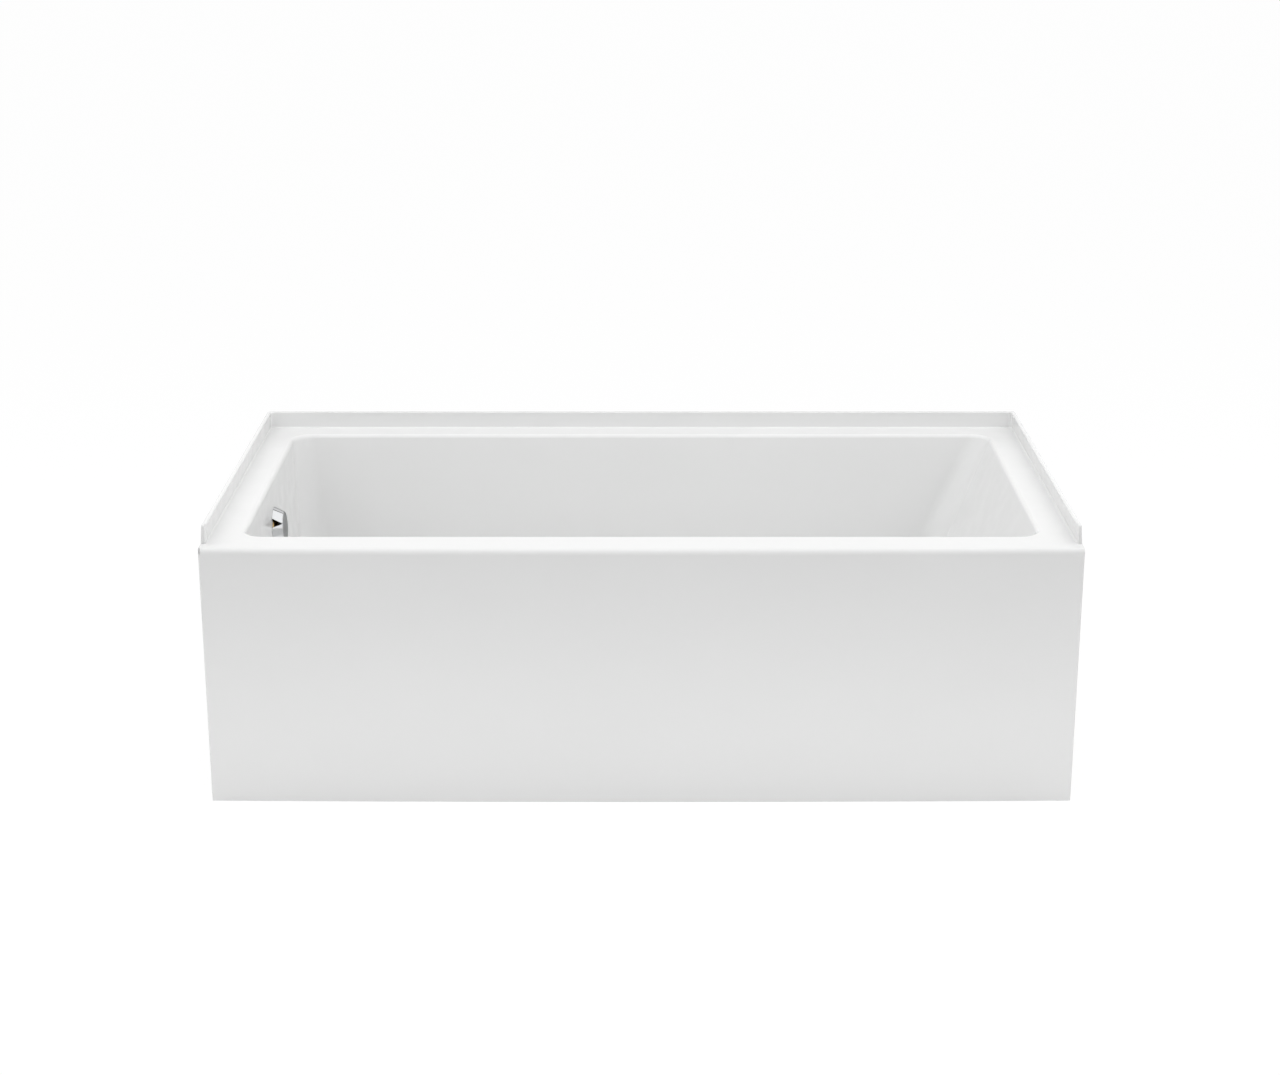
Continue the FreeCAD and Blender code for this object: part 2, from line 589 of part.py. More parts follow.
def drain_shoe():
    """Elbow under the drain: a flanged cup with a socket towards the column."""
    top = SUMP_Z - SKIN - GASKET_THICK
    cup_r = STRAINER_BODY_R + SHOE_WALL
    under = top - SHOE_FLANGE_THICK
    cup = turned([(0, SHOE_FOOT_Z), (cup_r - SHOE_SLOPE, SHOE_FOOT_Z), (cup_r, SHOE_FOOT_Z + SHOE_SLOPE),
                  (cup_r, under), (SHOE_FLANGE_R, under), (SHOE_FLANGE_R, top), (0, top)], at_drain(0))
    run = DRAIN_X - SHOE_MOUTH_X
    arm = rod(SOCKET_R, run, Vector(DRAIN_X, WELL_MID_Y, RUN_Z), -ALONG)
    floor = SHOE_FOOT_Z + SHOE_FLOOR
    hollow = turned([(0, floor), (STRAINER_BODY_R - SHOE_SLOPE, floor),
                     (STRAINER_BODY_R, floor + SHOE_SLOPE), (STRAINER_BODY_R, top), (0, top)], at_drain(0))
    waterway = rod(TUBE_BORE, run, Vector(DRAIN_X, WELL_MID_Y, RUN_Z), -ALONG)
    socket = rod(TUBE_R, SOCKET_DEEP, Vector(SHOE_MOUTH_X + SOCKET_DEEP, WELL_MID_Y, RUN_Z), -ALONG)
    return cup.fuse(arm).cut([hollow, waterway, socket])


def stopper_post():
    """Brass stud in the crossbar that the stopper rides on."""
    return turned([(0, STRAINER_FOOT_Z), (POST_R, STRAINER_FOOT_Z), (POST_R, POST_TOP_Z - 1),
                   (POST_R - 1, POST_TOP_Z), (0, POST_TOP_Z)], at_drain(0))


def stopper_cap():
    """Domed cap with the barrel that slides on the post, shown open."""
    bore = POST_R + RUNNING_GAP
    foot = HUB_TOP_Z + STOPPER_CLEAR + STOPPER_TRAVEL
    rest = SEAL_FOOT_Z + STOPPER_TRAVEL
    roof = rest + CAP_ROOF
    under = rest + SEAL_THICK
    hub = BARREL_R + CAP_HUB
    crown = [(radius, under + high) for radius, high in CAP_CROWN]
    return turned([(bore, foot), (BARREL_R, foot), (BARREL_R, rest), (hub, rest), (hub, under),
                   (CAP_R, under), *crown, (0, roof), (bore, roof)], at_drain(0))


def stopper_seal():
    return ring(SEAL_R, BARREL_R + CAP_HUB, SEAL_THICK, at_drain(SEAL_FOOT_Z + STOPPER_TRAVEL))


def stopper_spring():
    """Light spring between the post and the cap, inside the barrel."""
    top = SEAL_FOOT_Z + STOPPER_TRAVEL + CAP_ROOF
    height = top - POST_TOP_Z - 2 * SPRING_WIRE_R
    coil_r = POST_R - SPRING_WIRE_R - SPRING_GAP
    helix = Part.makeHelix(height / SPRING_TURNS, height, coil_r)
    helix.translate(at_drain(POST_TOP_Z + SPRING_WIRE_R))
    start = at_drain(POST_TOP_Z + SPRING_WIRE_R) + ALONG * coil_r
    section = Part.Wire(Part.makeCircle(SPRING_WIRE_R, start, BACK))
    return Part.Wire(helix).makePipeShell([section], True, True)


# ---- overflow ---------------------------------------------------------------------
def on_wall(out):
    """Point on the overflow's axis, this far out of the wall that shows."""
    return Vector(wall_x(OVERFLOW_Z), WELL_MID_Y, OVERFLOW_Z) + WALL_OUT * out


def onto_wall(solid):
    """Move a piece drawn about the Z axis onto the overflow's axis."""
    on_axis = FreeCAD.Placement(on_wall(0), FreeCAD.Rotation(UP, WALL_OUT))
    solid.Placement = on_axis.multiply(solid.Placement)
    return solid


def overflow_cover():
    """Hollow conical cover with three notched inlets at its base."""
    wall = COVER_WALL
    inside = COVER_DEEP - wall
    stud_foot = COVER_GAP + COVER_STUD_SHORT
    shell = turned([(COVER_BASE_R - wall, COVER_GAP), (COVER_BASE_R, COVER_GAP),
                    (COVER_FACE_R + COVER_EDGE, COVER_DEEP - COVER_EDGE),
                    (COVER_FACE_R - COVER_EDGE, COVER_DEEP), (0, COVER_DEEP), (0, stud_foot),
                    (COVER_STUD_R, stud_foot), (COVER_STUD_R, inside), (COVER_FACE_R - wall, inside)],
                   on_wall(0), WALL_OUT)
    for angle in COVER_NOTCH_ANGLES:
        shell = shell.cut(cover_notch(angle))
    return shell


def cover_notch(angle):
    """V-shaped cutter, wide at the wall and closing towards the face."""
    tip = COVER_DEEP - NOTCH_SHORT
    points = [Vector(0, -NOTCH_HALF, -RUNNING_GAP), Vector(0, NOTCH_HALF, -RUNNING_GAP),
              Vector(0, NOTCH_TIP_HALF, tip), Vector(0, -NOTCH_TIP_HALF, tip)]
    wedge = Part.Face(Part.makePolygon(points + points[:1])).extrude(ALONG * 2 * COVER_BASE_R)
    wedge.translate(ALONG * (COVER_FACE_R - NOTCH_DEEP))
    wedge.rotate(Vector(), UP, angle)
    return onto_wall(wedge)


def overflow_retainer():
    """Flanged bush that clamps the wall to the elbow and holds the cover's stud."""
    reach = SKIN + GASKET_FOAM + RETAINER_GRIP
    bevel, high = RETAINER_LIP
    bush = turned([(RETAINER_BORE, -reach), (RETAINER_R, -reach), (RETAINER_R, 0), (RETAINER_FLANGE_R, 0),
                   (RETAINER_FLANGE_R - bevel, high), (RETAINER_BORE, high)], on_wall(0), WALL_OUT)
    half = SPOKE_WIDE / 2
    behind, before = SPOKE_REACH
    spokes = []
    for i in range(3):
        spoke = box(-half, half, 0, (RETAINER_BORE + RETAINER_R) / 2, behind, before)
        spoke.rotate(Vector(), UP, 120 * i)
        spokes.append(onto_wall(spoke))
    boss = onto_wall(Part.makeCylinder(BOSS_R, BOSS_LENGTH, Vector(0, 0, before - BOSS_LENGTH)))
    bore = rod(COVER_STUD_R, FAR, on_wall(-FAR / 2), WALL_OUT)
    return bush.fuse(spokes + [boss]).cut(bore)


def overflow_gasket():
    """Foam ring squeezed between the tub's back and the elbow."""
    return ring(ELBOW_FLANGE_R, OVERFLOW_HOLE_R + 1, GASKET_FOAM, on_wall(-SKIN - GASKET_FOAM), WALL_OUT)


def overflow_elbow():
    """Head of the waste column, flanged towards the wall."""
    face = SKIN + GASKET_FOAM
    to_column = abs(COLUMN_X - wall_x(OVERFLOW_Z))
    head_top = OVERFLOW_Z + ELBOW_HEAD_R
    shoulder = ELBOW_FOOT_Z + ELBOW_SHOULDER[0]
    crown_in, crown_high = ELBOW_CROWN
    column = turned([(0, ELBOW_FOOT_Z), (SOCKET_R, ELBOW_FOOT_Z), (SOCKET_R, shoulder),
                     (ELBOW_HEAD_R, shoulder + ELBOW_SHOULDER[1]), (ELBOW_HEAD_R, head_top - crown_high),
                     (ELBOW_HEAD_R - crown_in, head_top), (0, head_top)], in_column(0))
    neck_r = RETAINER_R + ELBOW_WALL
    behind = -face - ELBOW_FLANGE_THICK
    neck = turned([(0, -to_column), (neck_r, -to_column), (neck_r, behind), (ELBOW_FLANGE_R, behind),
                   (ELBOW_FLANGE_R, -face), (0, -face)], on_wall(0), WALL_OUT)
    waterway = rod(TUBE_BORE, head_top - ELBOW_ROOF - ELBOW_FOOT_Z, in_column(ELBOW_FOOT_Z))
    socket = rod(TUBE_R, SOCKET_DEEP, in_column(ELBOW_FOOT_Z))
    mouth_r = RETAINER_R + RUNNING_GAP
    mouth = turned([(0, -to_column), (mouth_r, -to_column), (mouth_r, -face), (0, -face)],
                   on_wall(0), WALL_OUT)
    in_front = rod(2 * ELBOW_FLANGE_R, FAR, on_wall(-face), WALL_OUT)
    return column.fuse(neck).cut([waterway, socket, mouth, in_front])


# ---- waste column -----------------------------------------------------------------
def in_column(z):
    return Vector(COLUMN_X, WELL_MID_Y, z)


def waste_tee():
    """Tee where the drain run meets the overflow column."""
    column = rod(SOCKET_R, TEE_TOP_Z - TEE_FOOT_Z, in_column(TEE_FOOT_Z))
    reach = TEE_BRANCH_X - COLUMN_X
    branch = rod(SOCKET_R, reach, in_column(RUN_Z), ALONG)
    cutters = [rod(TUBE_BORE, TEE_TOP_Z - TEE_FOOT_Z, in_column(TEE_FOOT_Z)),
               rod(TUBE_R, SOCKET_DEEP, in_column(TEE_TOP_Z), DOWN),
               rod(TUBE_R - SPIGOT_STEP, SOCKET_DEEP, in_column(TEE_FOOT_Z)),
               rod(TUBE_BORE, reach, in_column(RUN_Z), ALONG),
               rod(TUBE_R, SOCKET_DEEP / 2, Vector(TEE_BRANCH_X, WELL_MID_Y, RUN_Z), -ALONG)]
    return column.fuse(branch).cut(cutters)


def waste_tube(start, end):
    length = (end - start).Length
    return ring(TUBE_R, TUBE_BORE, length, start, end - start)


def tailpiece():
    """Outlet tube, with a turned-down spigot cemented into the tee."""
    shoulder = TEE_FOOT_Z - SPIGOT_SHOULDER
    spigot_r = TUBE_R - SPIGOT_STEP
    top = TEE_FOOT_Z + SOCKET_DEEP
    return turned([(TUBE_BORE, TAILPIECE_FOOT_Z), (TUBE_R, TAILPIECE_FOOT_Z), (TUBE_R, shoulder),
                   (spigot_r, shoulder), (spigot_r, top), (TUBE_BORE, top)], in_column(0))


def slip_joint(mouth, away):
    """Slip nut and bevelled washer on a socket whose mouth faces `away`."""
    washer = turned([(TUBE_R, 0), (SOCKET_R, 0), (SOCKET_R, WASHER_HIGH / 2),
                     (TUBE_R + WASHER_LAND, WASHER_HIGH), (TUBE_R, WASHER_HIGH)], mouth, away)
    back = -NUT_SKIRT
    front = WASHER_HIGH + NUT_LIP
    wide = SOCKET_R + RUNNING_GAP
    narrow = TUBE_R + RUNNING_GAP
    bore = turned([(0, back), (wide, back), (wide, WASHER_HIGH), (narrow, WASHER_HIGH), (narrow, front),
                   (0, front)], mouth, away)
    body = hexagon(SLIP_NUT_FLATS, front - back, mouth + away * back, away)
    collar = rod(SLIP_NUT_FLATS / 2 + NUT_COLLAR, NUT_LIP, mouth + away * back, away)
    return body.fuse(collar).cut(bore), washer


def slip_joints():
    joints = [slip_joint(in_column(TEE_TOP_Z), UP),
              slip_joint(in_column(ELBOW_FOOT_Z), DOWN),
              slip_joint(Vector(TEE_BRANCH_X, WELL_MID_Y, RUN_Z), ALONG),
              slip_joint(Vector(SHOE_MOUTH_X, WELL_MID_Y, RUN_Z), -ALONG)]
    nuts, washers = zip(*joints)
    return nuts, washers


def main():
    os.makedirs("parts", exist_ok=True)
    save("tub_shell", tub_shell())
    save("fibreglass_backing", fibreglass_backing())
    save("bonding_bed", bonding_bed())
    save("base_board", base_board())
    save("front_rim_board", front_rim_board())
    save("apron_foot_rail", apron_foot_rail())
    for name, x in STUD_PLACES.items():
        save("apron_stud_" + name, apron_stud(x))

    for name, x in RAIL_PLACES.items():
        foot_ys = [y for foot_x, y in FOOT_PLACES.values() if foot_x == x]
        save("cradle_rail_" + name, cradle_rail(x, foot_ys))
    screws = [rail_screw(place) for x in RAIL_PLACES.values() for place in rail_screw_places(x)]
    save("rail_screws", *screws)
    nuts = []
    for name, (x, y) in FOOT_PLACES.items():
        save("foot_rod_" + name, foot_rod(x, WELL_MID_Y + y))
        save("foot_pad_" + name, foot_pad(x, WELL_MID_Y + y))
        nuts += foot_nuts(x, WELL_MID_Y + y)
    save("foot_nuts", *nuts)

    save("drain_strainer", drain_strainer())
    save("drain_gasket", drain_gasket())
    save("drain_shoe", drain_shoe())
    save("stopper_post", stopper_post())
    save("stopper_cap", stopper_cap())
    save("stopper_seal", stopper_seal())
    save("stopper_spring", stopper_spring())

    save("overflow_cover", overflow_cover())
    save("overflow_retainer", overflow_retainer())
    save("overflow_gasket", overflow_gasket())
    save("overflow_elbow", overflow_elbow())
    save("overflow_tube", waste_tube(in_column(TEE_TOP_Z - SOCKET_DEEP),
                                     in_column(ELBOW_FOOT_Z + SOCKET_DEEP)))
    save("shoe_tube", waste_tube(Vector(TEE_BRANCH_X - SOCKET_DEEP / 2, WELL_MID_Y, RUN_Z),
                                 Vector(SHOE_MOUTH_X + SOCKET_DEEP, WELL_MID_Y, RUN_Z)))
    save("waste_tee", waste_tee())
    save("tailpiece", tailpiece())
    nuts, washers = slip_joints()
    save("slip_nuts", *nuts)
    save("slip_washers", *washers)


if __name__ == "__main__":
    main()
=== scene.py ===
"""Looks of the alcove bathtub: finishes, fine detail, light and camera.

Metres, in the part's own frame: +Z up, X along the tub, the apron faces -Y.
"""
import json
import math

import bmesh
import bpy
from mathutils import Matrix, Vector


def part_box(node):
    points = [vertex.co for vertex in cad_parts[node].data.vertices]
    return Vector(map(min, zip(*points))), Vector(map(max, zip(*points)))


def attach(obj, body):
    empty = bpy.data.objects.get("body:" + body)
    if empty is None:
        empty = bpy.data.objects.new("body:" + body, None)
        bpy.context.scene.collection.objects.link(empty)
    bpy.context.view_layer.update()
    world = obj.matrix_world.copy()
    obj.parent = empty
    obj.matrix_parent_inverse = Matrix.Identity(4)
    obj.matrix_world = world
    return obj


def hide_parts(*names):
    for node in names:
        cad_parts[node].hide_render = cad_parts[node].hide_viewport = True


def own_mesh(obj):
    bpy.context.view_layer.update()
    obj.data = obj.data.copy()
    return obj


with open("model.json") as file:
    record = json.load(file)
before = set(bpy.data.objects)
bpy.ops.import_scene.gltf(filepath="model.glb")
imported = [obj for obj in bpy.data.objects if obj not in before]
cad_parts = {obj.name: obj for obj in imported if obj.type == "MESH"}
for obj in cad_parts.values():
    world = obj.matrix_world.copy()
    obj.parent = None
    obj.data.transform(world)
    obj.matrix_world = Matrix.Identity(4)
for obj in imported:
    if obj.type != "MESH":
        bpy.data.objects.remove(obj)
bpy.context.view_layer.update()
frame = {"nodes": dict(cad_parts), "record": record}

# ---- camera, fitted to the edges of the tub in the photograph ---------------------
LENS = 66.85
CAMERA_PLACE = (-0.0025, -4.2775, 1.734)
CAMERA_TILT = math.radians(72.22)

# ---- light ------------------------------------------------------------------------
SKY_LEVEL = 0.57                # even light from all round
SOFT_LIGHTS = {                 # place, aim, width and height, brightness where 1 is a white card
    "overhead": ((0, -0.15, 1.8), (0, -0.15, 0), (5.0, 1.0), 1.56),
    "front_high": ((0, -3.0, 1.3), (0, 0, 0.4), (5.0, 0.6), 0.56),
    "front_middle": ((0, -2.6, 0.35), (0, 0, 0.25), (5.0, 0.7), 0.3),
    "front_low": ((0, -0.8, 0.12), (0, 0, 0.12), (5.0, 0.1), 1.14),
    "left": ((-3.2, 0, 1.9), (0, 0, 0.3), (3.0, 2.0), 0.45),
    "right": ((3.2, 0, 1.9), (0, 0, 0.3), (3.0, 2.0), 0.47),
}
MIRROR_SKY = (                  # what chrome and gloss reflect: height of the direction, brightness
    (0.00, 1.0),
    (0.54, 1.0),                # white backdrop
    (0.57, 0.15),
    (0.62, 0.15),               # dark gap between backdrop and overhead light
    (0.65, 1.15),               # overhead light
)
FLOOR_SIZE = 60.0
FLOOR_GREY = 0.80
FLOOR_WHITE = 1.06              # what the camera sees in the floor, a little over plain white
FLOOR_SHARE = 0.88              # its share there; the rest is real light and shade


# ---- sizes of the pieces that are made here ---------------------------------------
DECK_Z = 0.4693                 # rolled edge between deck and apron
APRON_TOP_R = 0.0105
APRON_BOW = 0.006               # how far the apron bellies out at mid length
APRON_CORNER = 0.0032           # what its upright corners take off each end
ROLL_STATIONS = 121
ROLL_STEPS = 24
ROLL_OVERLAP = 0.0006           # how far the roll runs on over the deck
ROLL_LIFT = 0.00001             # how far its last row stands over the deck

STOPPER_CROWN = (               # radius, depth below its top
    (0.0, 0.0),
    (0.013, 0.0006),
    (0.023, 0.0022),
    (0.026, 0.0038),
)
CROWN_LIFT = 0.00003            # how far it stands over the frame's own dome
CROWN_SECTORS = 96
CROWN_STEPS = 8                 # between two of its points

FEET = ("drain_front", "drain_back", "middle", "head_front", "head_back")
LEG_R = 0.005                   # M10
LEG_ROOT_R = 0.0042
THREAD_PITCH = 0.0015
THREAD_SECTORS = 24
THREAD_ROWS = 2                 # in one turn: a crest and a root
THREAD_LEAD = 2                 # rows that start below the foot
THREAD_EXTRA = 5                # rows beyond its whole turns, for flat ends
HEX_SIDES = 6
LEG_HEX_FLATS = 0.017
LEG_HEX_Z = (0.015, 0.023)      # its foot and top
LEG_HEX_BEVEL = 0.0005
LEG_HEX_STEPS = 2
SOFTEN_SAMPLES = 6


# ---- finishes ---------------------------------------------------------------------
class Finish:
    """One material: its shader, and short ways to put textures on it."""

    def __init__(self, name, **constants):
        self.material = bpy.data.materials.new(name)
        self.material.use_nodes = True
        self.tree = self.material.node_tree
        self.shader = self.tree.nodes["Principled BSDF"]
        self.normal = None
        for socket, value in constants.items():
            self.shader.inputs[socket.replace("_", " ")].default_value = value

    def node(self, kind, inputs=None, **settings):
        made = self.tree.nodes.new("ShaderNode" + kind)
        for name, value in settings.items():
            setattr(made, name, value)
        for socket, value in (inputs or {}).items():
            if isinstance(value, bpy.types.NodeSocket):
                self.tree.links.new(value, made.inputs[socket])
            else:
                made.inputs[socket].default_value = value
        return made

    def place(self, size, turn=(0, 0, 0), shift=(0, 0, 0)):
        """Object coordinates, turned, in units of the feature size along each axis."""
        coords = self.node("TexCoord").outputs["Object"]
        angles = [math.radians(angle) for angle in turn]
        sizes = size if isinstance(size, tuple) else (size, size, size)
        mapping = self.node("Mapping", {"Vector": coords, "Location": shift, "Rotation": angles,
                                        "Scale": sizes}, vector_type="TEXTURE")
        return mapping.outputs["Vector"]

    def noise(self, size, turn=(0, 0, 0), detail=2.0, roughness=0.5):
        made = self.node("TexNoise", {"Vector": self.place(size, turn), "Scale": 1.0, "Detail": detail,
                                      "Roughness": roughness})
        return made.outputs["Fac"]

    def cells(self, size, turn=(0, 0, 0), output="Distance"):
        made = self.node("TexVoronoi", {"Vector": self.place(size, turn), "Scale": 1.0})
        return made.outputs[output]

    def ramp(self, value, *stops):
        """Colour ramp through (position, colour or grey level) stops."""
        made = self.node("ValToRGB", {"Fac": value})
        steps = made.color_ramp.elements
        for i, (position, colour) in enumerate(stops):
            step = steps[i] if i < 2 else steps.new(position)
            step.position = position
            step.color = (*colour, 1) if isinstance(colour, tuple) else (colour, colour, colour, 1)
        return made.outputs["Color"]

    def spread(self, value, low, high, start=0.0, end=1.0):
        """Map start..end of the value to low..high."""
        made = self.node("MapRange", {"Value": value, "From Min": start, "From Max": end,
                                      "To Min": low, "To Max": high})
        return made.outputs["Result"]

    def maths(self, operation, *values):
        made = self.node("Math", dict(enumerate(values)), operation=operation)
        return made.outputs["Value"]

    def mix(self, share, first, second, how="MIX"):
        made = self.node("Mix", data_type="RGBA", blend_type=how)
        for socket, value in ((0, share), (6, first), (7, second)):
            if isinstance(value, bpy.types.NodeSocket):
                self.tree.links.new(value, made.inputs[socket])
            elif socket == 0:
                made.inputs[socket].default_value = value
            else:
                made.inputs[socket].default_value = (*value, 1)
        return made.outputs[2]

    def colour(self, value):
        self.tree.links.new(value, self.shader.inputs["Base Color"])

    def rough(self, value):
        self.tree.links.new(value, self.shader.inputs["Roughness"])

    def soften(self, radius):
        """Round off what light sees of every sharp edge."""
        self.normal = self.node("Bevel", {"Radius": radius}, samples=SOFTEN_SAMPLES).outputs["Normal"]
        self.tree.links.new(self.normal, self.shader.inputs["Normal"])

    def bump(self, height, deep):
        """Relief of this depth in metres, on top of any that came before."""
        inputs = {"Height": height, "Distance": deep, "Strength": 1.0}
        if self.normal:
            inputs["Normal"] = self.normal
        self.normal = self.node("Bump", inputs).outputs["Normal"]
        self.tree.links.new(self.normal, self.shader.inputs["Normal"])


def white_acrylic():
    """Glossy cast sheet with the faint ripple that vacuum forming leaves."""
    finish = Finish("white_acrylic", IOR=1.49)
    clouds = finish.noise(0.3)
    finish.colour(finish.ramp(clouds, (0.3, (0.815, 0.817, 0.815)), (0.7, (0.825, 0.827, 0.825))))
    finish.rough(finish.spread(finish.noise(0.04, detail=4.0), 0.17, 0.24, 0.35, 0.65))
    finish.bump(finish.noise(0.11), 0.00015)
    finish.bump(finish.noise(0.008), 0.00002)
    return finish.material


def fibreglass():
    """Chopped strands rolled into resin."""
    finish = Finish("fibreglass")
    strands = None
    for turn in ((0, 0, 20), (35, 50, 75), (70, 20, 130), (15, 80, 160)):
        streak = finish.noise((0.03, 0.0011, 0.0011), turn, detail=1.0)
        strands = finish.maths("MAXIMUM", strands, streak) if strands else streak
    patches = finish.noise(0.06, detail=3.0)
    resin = finish.ramp(patches, (0.3, (0.52, 0.47, 0.34)), (0.7, (0.66, 0.62, 0.49)))
    glass = finish.ramp(strands, (0.56, 0.0), (0.70, 1.0))
    finish.colour(finish.mix(glass, resin, (0.80, 0.78, 0.69)))
    finish.rough(finish.spread(patches, 0.35, 0.65, 0.3, 0.7))
    finish.bump(finish.noise(0.02, detail=3.0), 0.002)
    finish.bump(strands, 0.0008)
    return finish.material


def bonding_resin():
    finish = Finish("bonding_resin")
    filler = finish.noise(0.012, detail=5.0, roughness=0.65)
    finish.colour(finish.ramp(filler, (0.3, (0.50, 0.46, 0.35)), (0.7, (0.64, 0.60, 0.49))))
    finish.rough(finish.spread(filler, 0.55, 0.8))
    finish.bump(finish.noise((0.15, 0.01, 0.02), detail=3.0), 0.0012)
    finish.bump(filler, 0.0004)
    return finish.material


def strand_board():
    """Overlapping flakes of wood, each with its own tone and grain."""
    finish = Finish("strand_board")
    wood = ((0.0, (0.30, 0.18, 0.085)), (0.35, (0.50, 0.34, 0.17)), (0.7, (0.62, 0.45, 0.25)),
            (1.0, (0.70, 0.55, 0.34)))
    flake_size = (0.075, 0.014, 0.02)
    tone = None
    relief = None
    for turn in (8, 64, 118, 153):
        flat = (0, 0, turn)
        flake = finish.cells(flake_size, flat, "Color")
        edge = finish.cells(flake_size, flat)
        grain = finish.noise((0.08, 0.0012, 0.0012), flat)
        chance = finish.node("SeparateColor", {"Color": flake}).outputs
        shade = finish.maths("ADD", finish.spread(chance[0], 0.0, 0.8), finish.spread(grain, -0.1, 0.3))
        layer = finish.ramp(shade, *wood)
        if tone:
            top = finish.ramp(chance[1], (0.49, 0.0), (0.51, 1.0))
            tone = finish.mix(top, tone, layer)
            relief = finish.maths("MAXIMUM", relief, edge)
        else:
            tone, relief = layer, edge
    finish.colour(tone)
    finish.rough(finish.spread(relief, 0.5, 0.75))
    finish.bump(relief, 0.0006)
    return finish.material


def softwood(finish, along, pith, ring=0.0045):
    """Growth rings round a pith line and fine grain along the wood."""
    across = tuple(0.0012 if i != along else 0.14 for i in range(3))
    wide = tuple(ring if i != along else 1.2 for i in range(3))
    wobble = finish.noise(tuple(0.05 if i != along else 0.6 for i in range(3)))
    drifts = {i: finish.spread(wobble, -2.0, 2.0) for i in range(3) if i != along}
    drift = finish.node("CombineXYZ", drifts).outputs[0]
    offset = finish.node("VectorMath", {0: finish.place(wide, shift=pith), 1: drift})
    shape = {"Vector": offset.outputs[0], "Scale": 0.32, "Distortion": 0.6, "Detail": 2.0}
    rings = finish.node("TexWave", shape, wave_type="RINGS", rings_direction="XYZ"[along],
                        wave_profile="SAW")
    grain = finish.noise(across, detail=3.0)
    return rings.outputs["Fac"], grain


def timber():
    finish = Finish("timber")
    rings, grain = softwood(finish, 0, (0.0, -0.33, -0.06))
    tone = finish.ramp(rings, (0.0, (0.66, 0.49, 0.29)), (0.8, (0.58, 0.39, 0.20)),
                       (1.0, (0.40, 0.23, 0.10)))
    streaks = finish.ramp(grain, (0.35, 0.80), (0.65, 1.0))
    finish.colour(finish.mix(1.0, tone, streaks, "MULTIPLY"))
    finish.rough(finish.spread(grain, 0.5, 0.72))
    finish.bump(grain, 0.0003)
    return finish.material


def plywood(name, across, along):
    """Thin veneers: grain on the faces, glued layers on the edges."""
    finish = Finish(name)
    pith = tuple(0.35 if i == across else 0.02 for i in range(3))
    rings, grain = softwood(finish, along, pith, ring=0.011)
    face = finish.ramp(rings, (0.0, (0.66, 0.50, 0.30)), (0.85, (0.58, 0.41, 0.23)),
                       (1.0, (0.44, 0.27, 0.13)))
    depth = finish.node("SeparateXYZ", {0: finish.place(0.0048)}).outputs[across]
    layers = finish.maths("PINGPONG", depth, 0.5)
    edge = finish.ramp(layers, (0.22, (0.36, 0.23, 0.12)), (0.28, (0.66, 0.51, 0.32)))
    normal = finish.node("NewGeometry").outputs["True Normal"]
    facing = finish.node("SeparateXYZ", {0: normal}).outputs[across]
    is_face = finish.maths("GREATER_THAN", finish.maths("ABSOLUTE", facing), 0.7)
    tone = finish.mix(is_face, edge, face)
    finish.colour(finish.mix(1.0, tone, finish.ramp(grain, (0.35, 0.82), (0.65, 1.0)), "MULTIPLY"))
    finish.rough(finish.spread(grain, 0.5, 0.72))
    finish.bump(grain, 0.00025)
    return finish.material


def galvanised_steel():
    """Zinc crystals of different brightness and sheen."""
    finish = Finish("galvanised_steel", Metallic=1.0)
    crystal = finish.node("SeparateColor", {"Color": finish.cells(0.011, output="Color")})
    finish.colour(finish.ramp(crystal.outputs[0], (0.0, (0.46, 0.48, 0.50)), (1.0, (0.66, 0.68, 0.70))))
    scuffs = finish.noise((0.05, 0.002, 0.05), detail=3.0)
    sheen = finish.spread(crystal.outputs[1], 0.24, 0.42)
    finish.rough(finish.maths("ADD", sheen, finish.spread(scuffs, -0.06, 0.14)))
    finish.bump(scuffs, 0.00008)
    return finish.material


def zinc_plated_steel():
    finish = Finish("zinc_plated_steel", Metallic=1.0)
    finish.soften(0.0004)
    clouds = finish.noise(0.012, detail=3.0)
    finish.colour(finish.ramp(clouds, (0.3, (0.60, 0.61, 0.64)), (0.55, (0.70, 0.70, 0.69)),
                              (0.75, (0.68, 0.64, 0.54))))
    finish.rough(finish.spread(finish.noise(0.003, detail=4.0), 0.2, 0.42, 0.3, 0.7))
    finish.bump(finish.noise(0.0015), 0.00003)
    return finish.material


def chrome():
    finish = Finish("chrome", Metallic=1.0, Specular_Tint=(0.5, 0.5, 0.5, 1.0))
    finish.soften(0.0005)
    finish.colour(finish.ramp(finish.noise(0.03), (0.3, (0.72, 0.73, 0.74)), (0.7, (0.75, 0.76, 0.77))))
    finish.rough(finish.spread(finish.noise(0.004, detail=4.0), 0.03, 0.08, 0.35, 0.7))
    finish.bump(finish.noise(0.02), 0.00002)
    return finish.material


def brass():
    """Turned brass with tool marks and a little tarnish."""
    finish = Finish("brass", Metallic=1.0)
    tarnish = finish.noise(0.009, detail=4.0)
    finish.colour(finish.ramp(tarnish, (0.35, (0.48, 0.31, 0.12)), (0.6, (0.72, 0.54, 0.25))))
    finish.rough(finish.spread(tarnish, 0.42, 0.2, 0.3, 0.7))
    finish.bump(finish.noise((0.01, 0.01, 0.0003)), 0.00003)
    return finish.material


def spring_steel():
    finish = Finish("spring_steel", Metallic=1.0)
    drawn = finish.noise(0.0008, detail=3.0)
    finish.colour(finish.ramp(drawn, (0.3, (0.42, 0.42, 0.43)), (0.7, (0.58, 0.58, 0.58))))
    finish.rough(finish.spread(drawn, 0.22, 0.38))
    finish.bump(drawn, 0.00001)
    return finish.material


